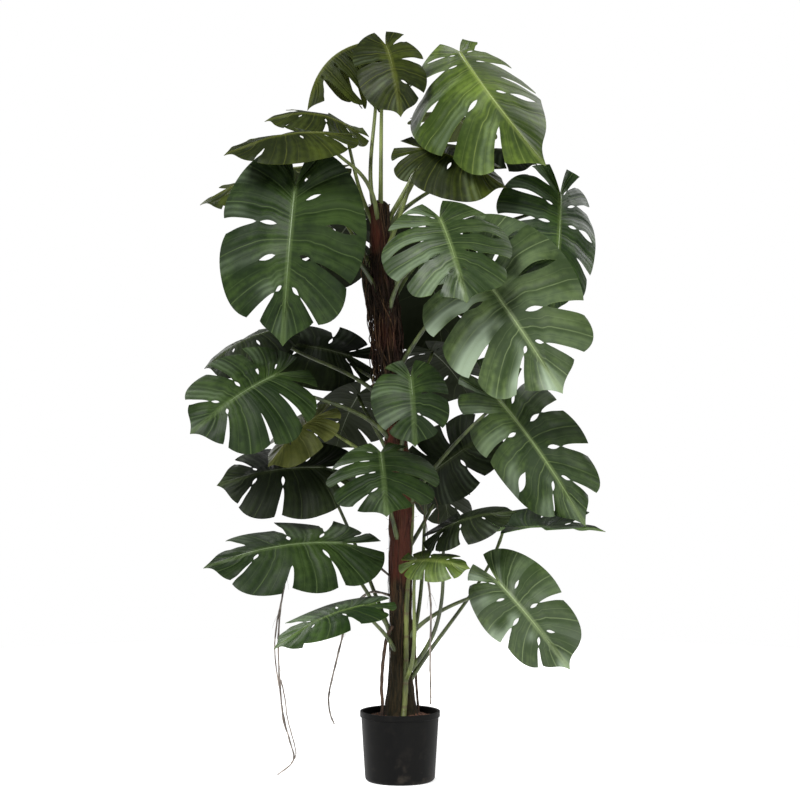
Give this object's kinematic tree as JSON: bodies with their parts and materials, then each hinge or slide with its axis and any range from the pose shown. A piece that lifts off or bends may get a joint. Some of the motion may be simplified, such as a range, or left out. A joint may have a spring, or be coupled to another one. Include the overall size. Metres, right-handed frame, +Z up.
{
  "type": "potted split-leaf philodendron",
  "caption": "Tall potted split-leaf philodendron: glossy holed and split leaves on long stalks around a fibre-clad trunk, with aerial roots, in a plain black nursery pot.",
  "frame": {"origin": "centre of the pot's foot, on the surface that it stands on", "axes": "+Z up along the trunk, -Y towards the front, the side that the picture shows, +X to the viewer's right"},
  "size_m": [0.9923, 0.6755, 1.7928],
  "materials": {
    "leaf": "waxy satin leaf, dark green, with paler veins",
    "root": "dry grey-brown aerial root",
    "bark": "dark brown fibre, matt",
    "pot": "black moulded plastic, satin",
    "soil": "dark potting mix over a weighted filling"
  },
  "bodies": {
    "root": {"leaf_01": "leaf", "leaf_02": "leaf", "leaf_03": "leaf", "leaf_04": "leaf", "leaf_05": "leaf", "leaf_06": "leaf", "leaf_07": "leaf", "leaf_08": "leaf", "leaf_09": "leaf", "leaf_10": "leaf", "leaf_11": "leaf", "leaf_12": "leaf", "leaf_13": "leaf", "leaf_14": "leaf", "leaf_15": "leaf", "leaf_16": "leaf", "leaf_17": "leaf", "leaf_18": "leaf", "leaf_19": "leaf", "leaf_20": "leaf", "leaf_21": "leaf", "leaf_22": "leaf", "leaf_23": "leaf", "leaf_24": "leaf", "leaf_25": "leaf", "leaf_26": "leaf", "leaf_27": "leaf", "leaf_28": "leaf", "leaf_29": "leaf", "leaf_30": "leaf", "leaf_31": "leaf", "leaf_32": "leaf", "leaf_33": "leaf", "root_1": "root", "root_2": "root", "root_3": "root", "pot": "pot", "soil": "soil", "trunk": "bark"}
  },
  "joints": []
}
